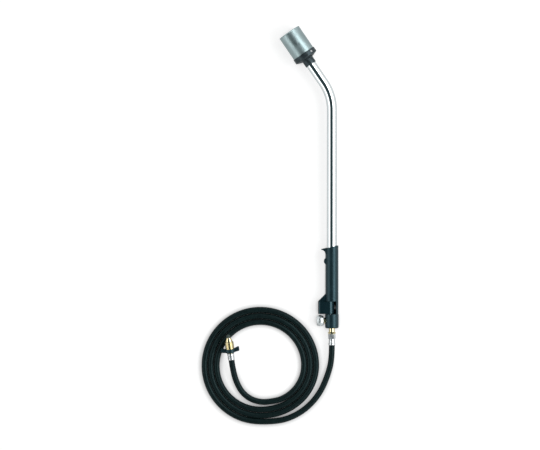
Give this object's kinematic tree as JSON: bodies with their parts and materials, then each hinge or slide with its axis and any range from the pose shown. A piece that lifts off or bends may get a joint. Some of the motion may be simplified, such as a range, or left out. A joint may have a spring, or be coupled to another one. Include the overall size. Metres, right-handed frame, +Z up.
{
  "type": "gas torch with hose",
  "caption": "Hand-held gas torch: open burner cup on a bent tube lance, moulded handle with push igniter and gas valve, rubber hose in a flat coil and a winged cylinder connector.",
  "frame": {"origin": "on the surface that the torch lies on, below the middle of its box without the hose and connector", "axes": "+Y along the handle towards the burner, +X to the side away from the trigger, +Z up"},
  "size_m": [0.3431, 0.9969, 0.0612],
  "materials": {
    "cast_iron": "dark phosphated casting",
    "steel_cup": "satin rolled sheet",
    "chrome": "bright plated",
    "zinc_steel": "bright zinc plated",
    "black_steel": "black oxide",
    "brass": "turned, polished",
    "ceramic": "glazed",
    "black_plastic": "satin moulded",
    "grey_plastic": "moulded",
    "rubber": "satin extruded",
    "seal": "moulded"
  },
  "bodies": {
    "torch": {"burner_base": "cast_iron", "burner_cup": "steel_cup", "cup_screws": "zinc_steel", "base_set_screw": "black_steel", "gas_jet": "brass", "burner_nozzle": "brass", "flame_holder": "steel_cup", "electrode_insulator": "ceramic", "spark_electrode": "zinc_steel", "lance_tube": "chrome", "gas_pipe": "zinc_steel", "ignition_lead": "seal", "gas_pipe_nut": "brass", "handle_front_shell": "black_plastic", "handle_back_shell": "black_plastic", "handle_screws": "black_steel", "piezo_igniter": "grey_plastic", "valve_body": "brass", "gland_packing": "seal", "gland_nut": "brass", "inlet_nipple": "brass", "swivel_nut": "zinc_steel", "torch_end_ferrule": "zinc_steel", "cylinder_end_ferrule": "zinc_steel", "connector_nipple": "brass", "nose_seal": "seal", "hose_lead": "rubber", "hose_tail": "rubber", "hose_coil": "rubber"},
    "trigger": {"igniter_trigger": "black_plastic", "piezo_plunger": "grey_plastic"},
    "spindle": {"valve_spindle": "brass"},
    "knob": {"valve_knob": "chrome", "knob_screw": "zinc_steel"},
    "connector": {"connector_nut": "brass", "wing_handle": "black_plastic"}
  },
  "joints": [
    {"name": "trigger_press", "type": "slide", "parent": "torch", "child": "trigger", "axis": [1, 0, 0], "range_m": [0, 0.005], "stiffness_N_per_m": 800, "springref_m": -0.002},
    {"name": "spindle_rise", "type": "slide", "parent": "torch", "child": "spindle", "axis": [-1, 0, 0], "range_m": [0, 0.0015]},
    {"name": "valve_turn", "type": "hinge", "parent": "spindle", "child": "knob", "pos_m": [0.05691, -0.33743, 0.0173], "axis": [-1, 0, 0], "range_deg": [0, 540]},
    {"name": "connector_turn", "type": "hinge", "parent": "torch", "child": "connector", "pos_m": [-0.19414, -0.43467, 0.0223], "axis": [-0.1272, 0.966, 0.225], "continuous": true}
  ],
  "couplings": [
    {"joint": "valve_turn", "follows": "spindle_rise", "rad_per_m": 6283.2}
  ]
}
